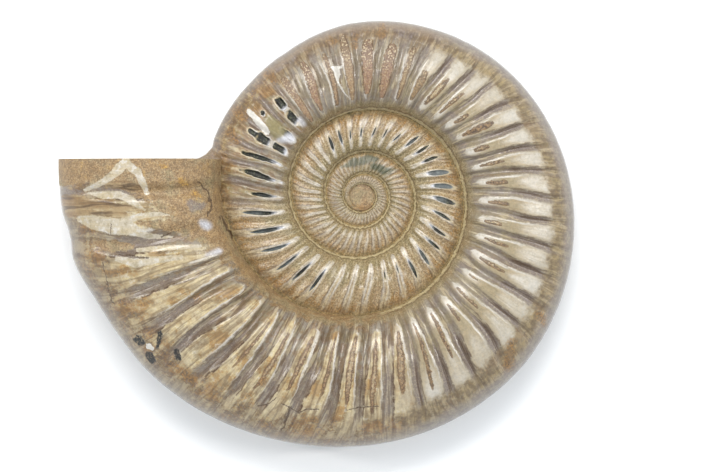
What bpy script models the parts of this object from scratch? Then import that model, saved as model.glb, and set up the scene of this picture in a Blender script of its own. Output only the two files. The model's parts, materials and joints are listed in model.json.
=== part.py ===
"""Polished perisphinctid ammonite, about 170 mm across, lying on its flank.

The shell is one solid: a coil of nearly five whorls, each overlapping the one before it, crossed
by ribs. Both flanks are ground and polished. The last whorl ends at a flat cut, and small flats
on the underside are where the fossil rests.

Growth angles are in degrees and run on from whorl to whorl. At 0, 360 and so on they point along
-X from the coil's axis, and they grow clockwise seen from above.
"""

import bisect
import math

import bmesh
import bpy
import numpy as np
from mathutils import Matrix, Vector

# Driving dimensions, in metres
RIM_RADIUS = 0.1003  # coil axis to the rim, at the end of the last whorl
EXPANSION = 1.97  # how many times the coil's radius grows in one turn
CORE_RADIUS = 0.0041  # the knob of rock where the first whorls lie hidden
CUT_OFFSET = 0.0129  # the coil axis to the flat cut that ends the last whorl
REST_GRIND = 0.0006  # depth of the flats that the fossil rests on

# Whorl section, as shares of the rim's radius at the same growth angle
OVERLAP_SHARE = 0.926  # a whorl is hidden beyond this share by the next one
CREST_SHARE = 0.68  # where the whorl is thickest
HALF_THICKNESS = 0.2186
WALL_HANDLES = ((0.480, 0.185), (0.570, HALF_THICKNESS))
VENTER_HANDLES = ((0.850, HALF_THICKNESS), (1.000, 0.110))

# Growth angles, in degrees
TURN = 360.0
END_ANGLE = 369.0  # the last column of the mesh, before it is drawn on to the cut
CUT_BLEND = 30.0  # the stretch over which the ribs turn parallel to the cut
CUT_SMOOTHING = 0.6  # how much of the ribs' relief is ground away at the cut itself
COLUMN_SPACING = 1.2  # the least distance from another column to the emerging or the last one
REST_ANGLES = (200.0, 255.0, 362.0)  # flank crests that the rest plane passes through

# Ribs: growth angle of a rib's crest and that rib's number, which is linear in between
RIB_KNOTS = ((-1730.0, -166.4), (0.7, 0.0), (92.2, 10.0), (349.0, 41.0), (432.0, 51.0))
RIB_RELIEF = 0.015  # groove below crest, as a share of the rim's radius
CREST_HALF_WIDTH = 0.24  # the polished flat of a crest, each side, as a share of the rib spacing
GROOVE_PHASE = 0.5
LEAN_KNOTS = ((-1730.0, 7.0), (-20.0, 7.0), (20.0, 2.0), (180.0, 9.0), (280.0, 5.0), (372.0, 5.0))

# Departure of the rim from the even spiral, in metres: grinding took more from some stretches
RIM_KNOTS = (
    (0.0, -0.0004),
    (20.0, -0.0004),
    (45.0, -0.0028),
    (62.0, -0.0034),
    (85.0, -0.0022),
    (110.0, -0.0025),
    (150.0, -0.0015),
    (200.0, -0.0001),
    (225.0, 0.0004),
    (260.0, -0.0010),
    (292.0, -0.0023),
    (330.0, -0.0024),
    (348.0, 0.0008),
    (372.0, 0.0),
)

# Rows of the mesh across a whorl: places along the wall arc and the venter arc, and the share of
# the ribs' relief there. The overlap row closes a hidden whorl, and the last row is the rim.
WALL_ROWS = ((0.40, 0.55), (0.80, 1.0))
FLANK_ROWS = ((0.34, 1.0),)
OVERLAP_RELIEF = 0.75
RIM_ROWS = ((0.72, 0.6), (0.87, 0.45), (1.0, 0.35))

KNOB_RISE = 1.35  # the core knob's tip, as a share of the height of its edge
SETTLE_STEPS = 50  # rounds of halving or settling, where a place has no direct formula


def interpolate(knots, value):
    """Straight-line value between (place, value) knots, held level past either end."""
    places, heights = zip(*knots)
    return float(np.interp(value, places, heights))


def bezier(points, t):
    """Point on a cubic arc, as (radius share, height share)."""
    a, b, c, d = (np.array(point) for point in points)
    s = 1.0 - t
    return s**3 * a + 3 * s * s * t * b + 3 * s * t * t * c + t**3 * d


def venter_arc():
    """Outer half of the section, from the crest of the flank round to the rim."""
    return ((CREST_SHARE, HALF_THICKNESS), *VENTER_HANDLES, (1.0, 0.0))


def overlap_place():
    """Where along the venter arc the next whorl's seam lies."""
    low, high = 0.0, 1.0
    for _ in range(SETTLE_STEPS):
        middle = (low + high) / 2
        if bezier(venter_arc(), middle)[0] < OVERLAP_SHARE:
            low = middle
        else:
            high = middle
    return low


def wall_arc():
    """Inner part of the section, from the seam up the umbilical wall to the crest of the flank."""
    seam = bezier(venter_arc(), overlap_place()) / EXPANSION
    return (tuple(seam), *WALL_HANDLES, (CREST_SHARE, HALF_THICKNESS))


def rim_radius(angle):
    """The even spiral's radius at a growth angle."""
    return RIM_RADIUS * EXPANSION ** ((angle - TURN) / TURN)


def relief(angle):
    """Depth below the polished crest, from 0 on a crest to 1 in a groove."""
    number = interpolate(RIB_KNOTS, angle)
    off_crest = abs(number - round(number))
    depth = (off_crest - CREST_HALF_WIDTH) / (GROOVE_PHASE - CREST_HALF_WIDTH)
    return min(1.0, max(0.0, depth))


def column_angles():
    """Growth angles of the mesh's columns, one whorl opening after the other.

    The inner whorls have a column on each crest and in each groove, and the outer two whorls
    have one at both edges of each crest. The last whorl comes out from under itself at a column
    of its own, where its end is cut.
    """
    start = TURN * (1 + math.log(CORE_RADIUS / RIM_RADIUS) / math.log(EXPANSION))
    emerge = emerge_angle()
    first, last = (math.ceil(interpolate(RIB_KNOTS, a)) for a in (start, END_ANGLE))
    angles = [start]
    for rib in range(first, last + 1):
        fine = rib > interpolate(RIB_KNOTS, -TURN)
        phases = (-CREST_HALF_WIDTH, CREST_HALF_WIDTH, GROOVE_PHASE) if fine else (0.0, GROOVE_PHASE)
        numbers, places = zip(*((number, place) for place, number in RIB_KNOTS))
        angles += [float(np.interp(rib + phase, numbers, places)) for phase in phases]
    latest = END_ANGLE - COLUMN_SPACING
    kept = [a for a in angles if start <= a < latest and abs(a - emerge) > COLUMN_SPACING]
    return sorted([*kept, emerge, END_ANGLE]), emerge


def emerge_angle():
    """Growth angle at which the rim comes out from under the whorl's cut end."""
    angle = 0.0
    for _ in range(SETTLE_STEPS):
        hidden_edge = OVERLAP_SHARE * rim_radius(angle)
        angle = math.degrees(math.asin(CUT_OFFSET / hidden_edge)) - lean(angle, OVERLAP_SHARE)
    return angle


def lean(angle, share):
    """How far a rib runs ahead of its column's angle, in degrees, at a share of the rim's radius."""
    return interpolate(LEAN_KNOTS, angle) * (share - CREST_SHARE) * 2


def surface_point(angle, share, height, depth):
    """A point of the upper flank, from its place in the section.

    The last columns are drawn back so that the very last one lies in the plane of the cut.
    """
    pull = max(0.0, 1 - (END_ANGLE - angle) / CUT_BLEND)
    pull = pull * pull * (3 - 2 * pull)
    groove = RIB_RELIEF * depth * (1 - CUT_SMOOTHING * pull)
    on_rim = height == 0.0
    growth = angle
    for _ in range(SETTLE_STEPS):
        radius = rim_radius(growth)
        plan = radius * share + interpolate(RIM_KNOTS, max(0.0, growth)) * max(0.0, 2 * share - 1)
        if on_rim:
            plan -= radius * groove
        if pull == 0.0:
            break
        cut = TURN + math.degrees(math.asin(CUT_OFFSET / plan)) - lean(growth, share)
        growth = angle + (cut - angle) * pull
    turned = growth + lean(growth, share)
    lift = 0.0 if on_rim else radius * (height - groove)
    turned_radians = math.radians(turned)
    return Vector((-plan * math.cos(turned_radians), plan * math.sin(turned_radians), lift))


def section_rows():
    """(share, height, relief share) of each row above the seam, and how many a hidden whorl has."""
    inner = [(*bezier(wall_arc(), t), amount) for t, amount in WALL_ROWS]
    inner += [(*bezier(venter_arc(), t), amount) for t, amount in FLANK_ROWS]
    inner.append((*bezier(venter_arc(), overlap_place()), OVERLAP_RELIEF))
    outer = [(*bezier(venter_arc(), t), amount) for t, amount in RIM_ROWS]
    return inner + outer, len(inner)


def zip_rows(mesh, first, second):
    """Triangles between two rows of (angle, vertex), which need not have the same columns."""
    i = j = 0
    while i < len(first) - 1 or j < len(second) - 1:
        step_first = j == len(second) - 1 or (
            i < len(first) - 1 and first[i + 1][0] <= second[j + 1][0]
        )
        if step_first:
            corners = (first[i][1], first[i + 1][1], second[j][1])
            i += 1
        else:
            corners = (first[i][1], second[j + 1][1], second[j][1])
            j += 1
        if len(set(corners)) == 3:
            mesh.faces.new(corners)


def build_flank(mesh, angles, emerge, side, shared_rim):
    """One flank of the coil, side +1 for the upper one. Returns its seam and last column."""
    rows, hidden_rows = section_rows()
    start = angles[0]
    core = [a for a in angles if a < start + TURN]
    rim = {}

    def vertex(angle, row):
        share, height, amount = rows[row]
        if row == len(rows) - 1 and angle in shared_rim:
            return shared_rim[angle]
        growth = min(1.0, (angle - start) / TURN)
        depth = relief(angle) * amount * growth
        # the first turn opens out of the core: its section widens from nothing
        share_here = share if angle >= start + TURN else OVERLAP_SHARE + (share - OVERLAP_SHARE) * growth
        point = surface_point(angle, share_here, height, depth)
        point.z *= side
        return mesh.verts.new(point)

    grid = []
    for angle in angles:
        count = len(rows) if angle >= emerge else hidden_rows
        if angle == start:
            only = vertex(angle, hidden_rows - 1)
            grid.append([only] * count)
            continue
        grid.append([vertex(angle, row) for row in range(count)])
        if count == len(rows):
            rim[angle] = grid[-1][-1]

    knob_radius = OVERLAP_SHARE * rim_radius(start)
    knob_height = bezier(venter_arc(), overlap_place())[1] * rim_radius(start)
    ring = [(start, grid[0][0])]
    for angle in core[1:]:
        around = math.radians(angle)
        place = (-knob_radius * math.cos(around), knob_radius * math.sin(around), side * knob_height)
        ring.append((angle, mesh.verts.new(place)))
    seam = ring + [
        (angle + TURN, column[hidden_rows - 1])
        for angle, column in zip(angles, grid)
        if angle <= emerge
    ]
    zip_rows(mesh, seam, [(angle, column[0]) for angle, column in zip(angles, grid)])

    for row in range(len(rows) - 1):
        columns = [
            (angle, column) for angle, column in zip(angles, grid) if len(column) > row + 1
        ]
        inner = [(angle, column[row]) for angle, column in columns]
        zip_rows(mesh, inner, [(angle, column[row + 1]) for angle, column in columns])

    tip = mesh.verts.new((0.0, 0.0, side * knob_height * KNOB_RISE))
    loop = [corner for _, corner in ring]
    for here, after in zip(loop, loop[1:] + loop[:1]):
        mesh.faces.new((tip, after, here))

    emerging = grid[bisect.bisect_left(angles, emerge)][hidden_rows - 1 :]
    return emerging, [seam[-1][1], *grid[-1]], rim


def build_cut(mesh, upper, lower):
    """The flat face that ends the last whorl, round the rim that it overlaps."""
    (upper_old, upper_end, _), (lower_old, lower_end, _) = upper, lower
    outline = upper_end + lower_end[-2::-1] + lower_old[1:] + upper_old[-2:0:-1]
    mesh.faces.new(outline)


def shell_mesh():
    """The whole coil in its own frame: axis along Z, and the middle of the whorls at z = 0."""
    mesh = bmesh.new()
    angles, emerge = column_angles()
    upper = build_flank(mesh, angles, emerge, 1, {})
    lower = build_flank(mesh, angles, emerge, -1, upper[2])
    build_cut(mesh, upper, lower)
    bmesh.ops.triangulate(mesh, faces=mesh.faces)
    bmesh.ops.recalc_face_normals(mesh, faces=mesh.faces)
    made = bpy.data.meshes.new("ammonite")
    mesh.to_mesh(made)
    mesh.free()
    return made


def resting_rotation():
    """Turns the coil so that the plane through three crests of the lower flank is level."""
    a, b, c = (surface_point(angle, CREST_SHARE, HALF_THICKNESS, 0.0) for angle in REST_ANGLES)
    for point in (a, b, c):
        point.z = -point.z
    normal = (b - a).cross(c - a).normalized()
    if normal.z > 0:
        normal = -normal
    turn = normal.rotation_difference(Vector((0.0, 0.0, -1.0))).to_matrix()
    return turn, (turn @ a).z


def stone_material():
    """Polished fossil stone: cream, grey and brown calcite under a polish."""
    material = bpy.data.materials.new("polished_fossil")
    material.use_nodes = True
    shader = material.node_tree.nodes["Principled BSDF"]
    shader.inputs["Base Color"].default_value = (0.40, 0.31, 0.22, 1.0)
    shader.inputs["Roughness"].default_value = 0.28
    shader.inputs["Metallic"].default_value = 0.0
    return material


def floor_cutter(collection, size, depth):
    """A block whose top face is the plane that grinds the resting flats."""
    bpy.ops.mesh.primitive_cube_add(size=1.0)
    cutter = bpy.context.active_object
    cutter.name = "floor_cutter"
    cutter.data.transform(Matrix.Diagonal((size, size, depth, 1.0)))
    cutter.location = (0.0, 0.0, -depth / 2)
    cutter.hide_render = True
    cutter.display_type = "WIRE"
    for other in cutter.users_collection:
        other.objects.unlink(cutter)
    collection.objects.link(cutter)
    return cutter


def main():
    for old in list(bpy.data.objects):
        bpy.data.objects.remove(old, do_unlink=True)
    parts = bpy.data.collections.new("polished_ammonite")
    cutters = bpy.data.collections.new("cutters")
    for collection in (parts, cutters):
        bpy.context.scene.collection.children.link(collection)

    shell = bpy.data.objects.new("ammonite", shell_mesh())
    parts.objects.link(shell)
    shell.data.materials.append(stone_material())
    shell.data.shade_smooth()

    turn, lowest = resting_rotation()
    turned = [turn @ corner.co for corner in shell.data.vertices]
    middle = [(min(v[i] for v in turned) + max(v[i] for v in turned)) / 2 for i in (0, 1)]
    place = Vector((-middle[0], -middle[1], -lowest - REST_GRIND))
    shell.matrix_world = Matrix.Translation(place) @ turn.to_4x4()

    cut = shell.modifiers.new("resting_flats", "BOOLEAN")
    cut.operation = "DIFFERENCE"
    cut.object = floor_cutter(cutters, 4 * RIM_RADIUS, RIM_RADIUS)


main()
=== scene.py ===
"""Looks of a polished perisphinctid ammonite that lies on its flank.

The coil is modelled again here in a fine mesh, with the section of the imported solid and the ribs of
its last whorl. The rim, the cut, the ribs' lean and the ribs of the whorls before follow the photograph
more closely than the solid does, and the rim and the cut lie about 1 mm off the solid's.
The stone is one procedural material, which reads where on the coil it is: the rib number, the place
across the whorl, the growth angle and the flank are kept on the mesh.

Growth angles are in degrees and run on from whorl to whorl. At 0, 360 and so on they point along
-X from the coil's axis, and they grow clockwise seen from above. A place across a whorl runs from
0 at the seam with the whorl before to 1 at the rim, in plan. A flank is 1 for the upper one, -1 for
the lower one and 2 for the cut face.
"""

import json
import math
from functools import partialmethod

import bmesh
import bpy
import numpy as np
from mathutils import Matrix, Vector, noise

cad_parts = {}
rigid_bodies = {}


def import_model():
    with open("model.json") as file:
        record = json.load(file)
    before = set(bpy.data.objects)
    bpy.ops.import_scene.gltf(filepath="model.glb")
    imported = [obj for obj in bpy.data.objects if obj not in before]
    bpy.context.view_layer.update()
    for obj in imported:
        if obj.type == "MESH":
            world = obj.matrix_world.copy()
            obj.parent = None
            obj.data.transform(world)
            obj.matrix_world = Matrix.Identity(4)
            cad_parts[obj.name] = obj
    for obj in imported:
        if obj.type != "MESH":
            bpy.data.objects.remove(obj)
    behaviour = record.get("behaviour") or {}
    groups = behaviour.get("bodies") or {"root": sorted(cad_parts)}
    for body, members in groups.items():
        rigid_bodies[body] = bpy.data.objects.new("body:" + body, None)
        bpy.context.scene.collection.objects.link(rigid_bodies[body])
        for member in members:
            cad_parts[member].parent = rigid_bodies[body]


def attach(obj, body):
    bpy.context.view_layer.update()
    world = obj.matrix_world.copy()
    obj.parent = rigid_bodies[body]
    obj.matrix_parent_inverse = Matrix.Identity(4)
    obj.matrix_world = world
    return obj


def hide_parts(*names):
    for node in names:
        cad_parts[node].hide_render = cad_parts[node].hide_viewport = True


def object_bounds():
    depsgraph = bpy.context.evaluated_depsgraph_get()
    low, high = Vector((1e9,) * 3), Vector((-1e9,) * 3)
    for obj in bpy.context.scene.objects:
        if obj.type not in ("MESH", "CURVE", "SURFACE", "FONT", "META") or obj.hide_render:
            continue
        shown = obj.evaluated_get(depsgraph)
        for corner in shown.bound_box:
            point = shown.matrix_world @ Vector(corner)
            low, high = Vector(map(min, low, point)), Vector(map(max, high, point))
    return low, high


for old in list(bpy.data.objects):
    bpy.data.objects.remove(old, do_unlink=True)
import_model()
CAD_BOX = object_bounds()

# The coil, in metres and degrees
RIM_RADIUS = 0.1003
EXPANSION = 1.97
CORE_RADIUS = 0.0041
CUT_OFFSET = 0.0119  # 1 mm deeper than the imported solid's, as the photograph has it
REST_GRIND = 0.0006
OVERLAP_SHARE = 0.926  # where the next whorl's seam lies, as a share of the rim's radius
CREST_SHARE = 0.68
HALF_THICKNESS = 0.2186
WALL_HANDLES = ((0.48, 0.185), (0.57, HALF_THICKNESS))
VENTER_HANDLES = ((0.85, HALF_THICKNESS), (1.0, 0.11))
TURN = 360.0
END_ANGLE = 369.0
CUT_BLEND = 30.0
RIB_FADE = (351.0, 360.0)  # growth angles between which the ribs die away before the cut
REST_ANGLES = (200.0, 255.0, 362.0)
RIB_KNOTS = (
    (-1730, -212), (-1080, -126), (-720, -78), (-360, -34.5), (0.7, 0), (92.2, 10), (349, 41), (432, 51),
)
RIB_RELIEF = 0.019
LEAN_KNOTS = (
    (-1730, 7), (-20, 7), (20, 2), (60, 0.5), (105, 1), (150, 5), (168, 4.5), (190, 0.8), (206, -0.5),
    (225, 0.8), (250, 2.3), (270, 4.3), (286, 3.6), (308, 0.8), (330, 1.5), (348, 4.5), (356, 5),
    (372, 5),
)
RIM_KNOTS = (  # growth angle and millimetres off the even spiral
    (0, -0.4), (20, -0.4), (45, -2.8), (62, -3.5), (85, -2.6), (110, -2.8), (130, -2.3), (150, -1.8),
    (168, -1.4), (190, -1.2), (206, -0.9), (225, -0.3), (250, -0.9), (270, -1.5), (286, -1.9),
    (296, -1.9), (309, -1.7), (320, -1.5), (328, -2), (334, -1.9), (338, -1.4), (343, 0), (345.5, 0.2),
    (348.2, -0.8), (350.5, -0.9), (353.5, 0), (372, 0),
)
KNOB_RISE = 1.35
KNOB_PLACE = -0.5
SEAM_SHARE = OVERLAP_SHARE / EXPANSION
SETTLE_STEPS = 40

# The fine mesh: (first growth angle, step) of each stretch of the coil
COLUMN_STEPS = ((-1080.0, 1.8), (-720.0, 1.0), (-360.0, 0.8), (0.0, 0.55), (TURN + 20.0, 0.45))
UPPER_ROWS = (11, 11, 10)  # rows on the wall, the flank to the overlap, and round to the rim
LOWER_ROWS = (5, 5, 7)
CUT_RINGS = 16
CUT_CROWDING = 1.5
CUT_FLANK = 2.0
CUT_ROUGHNESS = 0.0007
CUT_GRAINS = 260.0  # to a metre
CUT_EDGE = 0.003  # how far in from its edge the cut face is smoother
FILLET_DEGREES = 3.0  # how far the rock at the cut climbs along the whorl before
FILLET_REACH = 0.007
SHARP_DEGREES = 55.0

# Ribs of the fine mesh
CREST_KNOTS = ((0.0, 0.1), (0.12, 0.16), (0.4, 0.24), (0.7, 0.28), (1.0, 0.24))
RELIEF_KNOTS = (
    (0, 0), (0.05, 0.7), (0.12, 1.1), (0.3, 1), (0.62, 0.9), (0.8, 0.5), (0.92, 0.16), (1, 0.03),
)
EARLY_NARROWING = 0.15  # how much narrower the crests of the whorls before are
FINE_RIBS = 3.0  # ribs round the rim to each rib of the flank
FINE_RELIEF = 0.0022  # as a share of the rim's radius
FINE_START = (0.66, 0.8)
FINE_END = (0.84, 0.96)
FINE_FADE = 0.9
HOLLOW_SLOPE = 0.45  # how far into a hollow its bottom starts
HOLLOWS_END = 6.0  # growth angle at which the whorls before end for their hollows
# Unevenness of the ribs: size in ribs, pace round the coil, drift across it, and start
SWAYS = ((0.05, 1.9, 4.0, 0.3), (0.04, 0.83, 7.0, 1.1), (0.025, 3.1, 10.0, 2.0))
STRENGTH_SWAY = (0.22, 1.37, 2.0, 0.5)

PHOTO_SIZE = (708, 472)
PIXEL = 0.00033


def interpolate(knots, value):
    """Straight-line values between knots, held level past either end."""
    places, heights = zip(*knots)
    return np.interp(value, places, heights)


def smooth(low, high, value):
    """0 below low, 1 above high, and an even S in between."""
    t = np.clip((value - low) / (high - low), 0.0, 1.0)
    return t * t * (3 - 2 * t)


def bezier(points, t):
    """Points (share, height) on a cubic arc."""
    a, b, c, d = (np.array(point) for point in points)
    t = np.asarray(t, float)[..., None]
    s = 1.0 - t
    return s**3 * a + 3 * s * s * t * b + 3 * s * t * t * c + t**3 * d


def venter_arc():
    return ((CREST_SHARE, HALF_THICKNESS), *VENTER_HANDLES, (1.0, 0.0))


def overlap_place():
    """Where along the venter arc the next whorl's seam lies."""
    low, high = 0.0, 1.0
    for _ in range(SETTLE_STEPS):
        middle = (low + high) / 2
        if bezier(venter_arc(), middle)[0] < OVERLAP_SHARE:
            low = middle
        else:
            high = middle
    return low


def wall_arc():
    seam = bezier(venter_arc(), overlap_place()) / EXPANSION
    return (tuple(seam), *WALL_HANDLES, (CREST_SHARE, HALF_THICKNESS))


def rim_radius(angle):
    return RIM_RADIUS * EXPANSION ** ((angle - TURN) / TURN)


def rib_number(angle):
    return interpolate(RIB_KNOTS, angle)


def swayed_number(angle, across):
    """The rib number with the unevenness of a grown shell."""
    number = rib_number(angle)
    sway = sum(size * np.sin(pace * number + drift * across + start) for size, pace, drift, start in SWAYS)
    return number + sway


def lean(angle, share):
    return interpolate(LEAN_KNOTS, angle) * (share - CREST_SHARE) * 2


def rim_departure(angle):
    """How far the rim stands off the even spiral."""
    return np.where(angle > 0.0, interpolate(RIM_KNOTS, angle) / 1000, 0.0)


def place_across(share):
    """The place across the whorl of a share of the rim's radius."""
    return (share - SEAM_SHARE) / (1 - SEAM_SHARE)


def section_rows(counts):
    """Share, height and the normal's two parts for each row, and how many rows lie inside the overlap."""
    wall, flank, rim = counts
    overlap = overlap_place()
    wall_steps = np.linspace(0, 1, wall + 1)[1:]
    venter_steps = np.concatenate(
        [np.linspace(0, overlap, flank + 1)[1:], np.linspace(overlap, 1, rim + 1)[1:]]
    )
    rows = []
    for arc, steps in ((wall_arc(), wall_steps), (venter_arc(), venter_steps)):
        for t in steps:
            point = bezier(arc, t)
            ahead = bezier(arc, min(1.0, t + 1e-3)) - bezier(arc, t - 1e-3)
            length = math.hypot(*ahead)
            rows.append((*point, -ahead[1] / length, ahead[0] / length))
    rows[-1] = (1.0, 0.0, 1.0, 0.0)
    return np.array(rows), wall + flank


def surface(angle, share, height, normal, sink):
    """Points of the upper flank, from arrays of their places in the section.

    sink is how far, as a share of the rim's radius, a point lies below the polished section.
    The last columns are drawn back so that the very last one lies in the plane of the cut.
    """
    pull = np.clip(1 - (END_ANGLE - angle) / CUT_BLEND, 0.0, 1.0)
    pull = pull * pull * (3 - 2 * pull)
    sink = sink * (1 - smooth(*RIB_FADE, angle))
    growth = angle.copy()
    for _ in range(SETTLE_STEPS):
        radius = rim_radius(growth)
        plan = radius * (share - normal[0] * sink) + rim_departure(growth) * np.clip(2 * share - 1, 0, None)
        cut = TURN + np.degrees(np.arcsin(np.clip(CUT_OFFSET / plan, -1, 1))) - lean(growth, share)
        growth = angle + (cut - angle) * pull
    turned = np.radians(growth + lean(growth, share))
    lift = np.where(height == 0.0, 0.0, radius * (height - normal[1] * sink))
    return np.stack([-plan * np.cos(turned), plan * np.sin(turned), lift], axis=-1)


def column_angles():
    """Growth angles of the mesh's columns, with one where the last whorl comes out from under itself."""
    start = TURN * (1 + math.log(CORE_RADIUS / RIM_RADIUS) / math.log(EXPANSION))
    stretches = []
    low = start
    for high, step in COLUMN_STEPS:
        high = min(high, END_ANGLE)
        stretches.append(np.linspace(low, high, max(2, round((high - low) / step)), endpoint=False))
        low = high
    angles = np.append(np.concatenate(stretches), END_ANGLE)
    emerge = emerge_angle()
    angles[np.argmin(np.abs(angles - emerge))] = emerge
    return angles, emerge


def emerge_angle():
    """Growth angle at which the overlap's edge comes out from under the whorl's cut end."""
    angle = 0.0
    for _ in range(SETTLE_STEPS):
        hidden_edge = OVERLAP_SHARE * rim_radius(angle)
        angle = math.degrees(math.asin(CUT_OFFSET / hidden_edge)) - float(lean(angle, OVERLAP_SHARE))
    return angle


def rib_sink(angle, across):
    """Depth of the grooves between ribs, as a share of the rim's radius."""
    number = swayed_number(angle, across)
    off_crest = np.abs(number - np.round(number))
    crest = interpolate(CREST_KNOTS, across) * (1 - EARLY_NARROWING * (angle < 0.0))
    groove = smooth(0.0, 1.0, (off_crest - crest) / (0.5 - crest))
    size, pace, drift, start = STRENGTH_SWAY
    groove = groove * (1 + size * np.sin(pace * number + drift * across + start))
    fine = 0.5 - 0.5 * np.cos(2 * math.pi * FINE_RIBS * number)
    on_rim = smooth(*FINE_START, across) * (1 - FINE_FADE * smooth(*FINE_END, across))
    return RIB_RELIEF * interpolate(RELIEF_KNOTS, across) * groove + FINE_RELIEF * fine * on_rim


class Builder:
    """Gathers points and triangles, and for every corner its growth angle, place and flank."""

    def __init__(self):
        self.points = []
        self.count = 0
        self.faces = []
        self.corners = []

    def add_points(self, points):
        """Returns the points' numbers, laid out as the points are."""
        points = np.asarray(points, float)
        numbers = self.count + np.arange(points[..., 0].size).reshape(points.shape[:-1])
        self.points.append(points.reshape(-1, 3))
        self.count += numbers.size
        return numbers

    def add_faces(self, faces, corners):
        """faces is (n, 3) of point numbers and corners is (n, 3, 3): growth angle, place and flank."""
        faces = np.asarray(faces, int).reshape(-1, 3)
        whole = (faces[:, 0] != faces[:, 1]) & (faces[:, 1] != faces[:, 2]) & (faces[:, 2] != faces[:, 0])
        self.faces.append(faces[whole])
        self.corners.append(np.asarray(corners, float).reshape(-1, 3, 3)[whole])

    def zip_rows(self, first, second):
        """Triangles between two rows of (angle, point, place, flank), which may have unlike columns."""
        faces, corners = [], []
        i = j = 0
        while i < len(first) - 1 or j < len(second) - 1:
            step_first = j == len(second) - 1 or (
                i < len(first) - 1 and first[i + 1][0] <= second[j + 1][0]
            )
            if step_first:
                trio = (first[i], first[i + 1], second[j])
                i += 1
            else:
                trio = (first[i], second[j + 1], second[j])
                j += 1
            if len({corner[1] for corner in trio}) == 3:
                faces.append([corner[1] for corner in trio])
                corners.append([(corner[0], corner[2], corner[3]) for corner in trio])
        self.add_faces(faces, corners)

    def grid(self, points, growth, across, flank):
        """Two triangles for each cell of a grid of point numbers."""
        places = np.stack([growth, across, np.full(growth.shape, float(flank))], axis=-1)
        down, along = points.shape
        for pattern in (((0, 0), (1, 0), (1, 1)), ((0, 0), (1, 1), (0, 1))):
            cuts = [(slice(i, down - 1 + i), slice(j, along - 1 + j)) for i, j in pattern]
            trios = np.stack([points[cut].ravel() for cut in cuts], axis=-1)
            self.add_faces(trios, np.stack([places[cut].reshape(-1, 3) for cut in cuts], axis=1))


def rows_of(angles, points, place, flank):
    return [(float(a), int(p), place, flank) for a, p in zip(angles, points)]


def build_flank(build, angles, emerge, flank, rim_points):
    """One flank of the coil. Returns the emerging edge, the end column and the rim's points."""
    rows, hidden = section_rows(UPPER_ROWS if flank > 0 else LOWER_ROWS)
    across = place_across(rows[:, 0])
    start = angles[0]
    shown = angles >= emerge - 1e-9

    growth, places_across = np.meshgrid(angles, across, indexing="ij")
    opening = np.clip((angles - start) / TURN, 0.0, 1.0)[:, None]
    share = np.where(opening < 1.0, OVERLAP_SHARE + (rows[:, 0] - OVERLAP_SHARE) * opening, rows[:, 0])
    sink = (rib_sink(growth, places_across) + hollow_sink(growth, places_across)) * opening
    places = surface(growth, share, rows[:, 1], (rows[:, 2], rows[:, 3]), sink)
    places[..., 2] *= flank

    numbers = np.full(places.shape[:2], -1)
    numbers[0, :hidden] = build.add_points(places[0, hidden - 1])
    numbers[1:, :hidden] = build.add_points(places[1:, :hidden])
    numbers[shown, hidden:-1] = build.add_points(places[shown, hidden:-1])
    if rim_points is None:
        rim_points = build.add_points(places[shown, -1])
    numbers[shown, -1] = rim_points

    build.grid(numbers[:, :hidden].T, growth[:, :hidden].T, places_across[:, :hidden].T, flank)
    emerging = [numbers[np.argmax(shown), hidden - 1]]
    first_row = rows_of(angles[shown], numbers[shown, hidden - 1], across[hidden - 1], flank)
    for row in range(hidden, len(rows)):
        fillet = FILLET_DEGREES * math.sin(math.pi / 2 * (row - hidden + 1) / (len(rows) - hidden))
        kept = angles >= emerge + fillet
        second_row = rows_of(angles[kept], numbers[kept, row], across[row], flank)
        build.zip_rows(first_row, second_row)
        emerging.append(second_row[0][1])
        first_row = second_row

    knob_radius = OVERLAP_SHARE * rim_radius(start)
    knob_height = bezier(venter_arc(), overlap_place())[1] * rim_radius(start)
    core = angles[(angles > start) & (angles < start + TURN)]
    around = np.radians(core)
    ring_points = np.stack([-np.cos(around), np.sin(around), np.zeros(core.size)], axis=-1) * knob_radius
    ring_points[:, 2] = flank * knob_height
    ring_points = build.add_points(ring_points)
    ring = [(float(start), int(numbers[0, 0]), 0.0, flank)] + rows_of(core, ring_points, 0.0, flank)
    before = angles <= emerge
    seam = ring + rows_of(angles[before] + TURN, numbers[before, hidden - 1], 0.0, flank)
    build.zip_rows(seam, rows_of(angles, numbers[:, 0], across[0], flank))

    tip = build.add_points((0.0, 0.0, flank * knob_height * KNOB_RISE))
    for here, after in zip(ring, ring[1:] + ring[:1]):
        build.add_faces([tip, after[1], here[1]], [(start, KNOB_PLACE, flank)] * 3)
    end = [seam[-1][1], *numbers[-1]]
    return emerging, end, rim_points


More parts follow.
